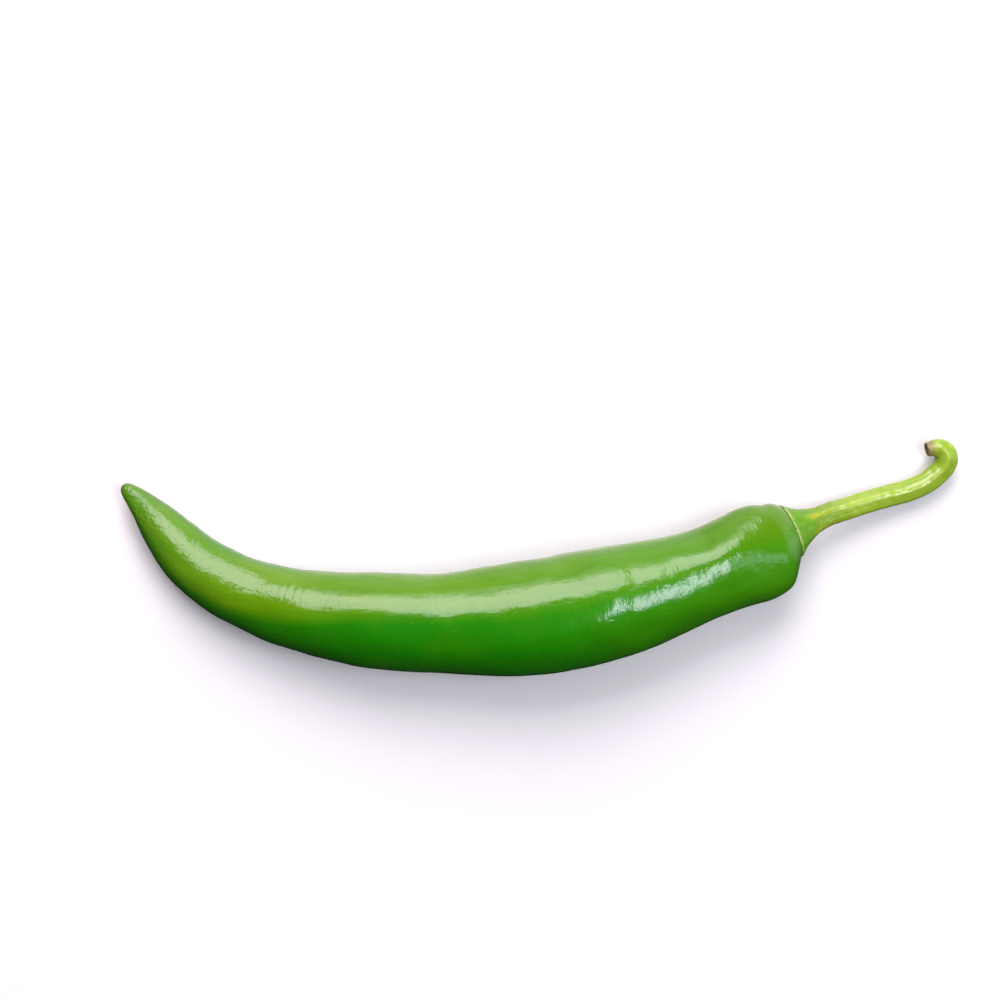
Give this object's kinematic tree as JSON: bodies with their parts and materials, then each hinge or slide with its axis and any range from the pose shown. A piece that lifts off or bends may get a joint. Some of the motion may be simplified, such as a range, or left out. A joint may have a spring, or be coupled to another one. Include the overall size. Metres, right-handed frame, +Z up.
{
  "type": "green chilli pepper",
  "caption": "Long curved green chilli pepper, picked with its calyx and hooked stem, lying on its side.",
  "frame": {"origin": "on the surface that the chilli lies on, at the bottom centre of its bounding box", "axes": "+X from the tip to the stem, +Y to the hollow side of the bow, +Z up from the surface"},
  "size_m": [0.185, 0.052, 0.0247],
  "materials": {
    "pod_skin": "smooth waxy skin, glossy",
    "calyx_skin": "satin, softly ribbed",
    "stem_skin": "satin, ribbed along its length"
  },
  "bodies": {
    "root": {"pod": "pod_skin", "calyx": "calyx_skin", "stem": "stem_skin"}
  },
  "joints": []
}
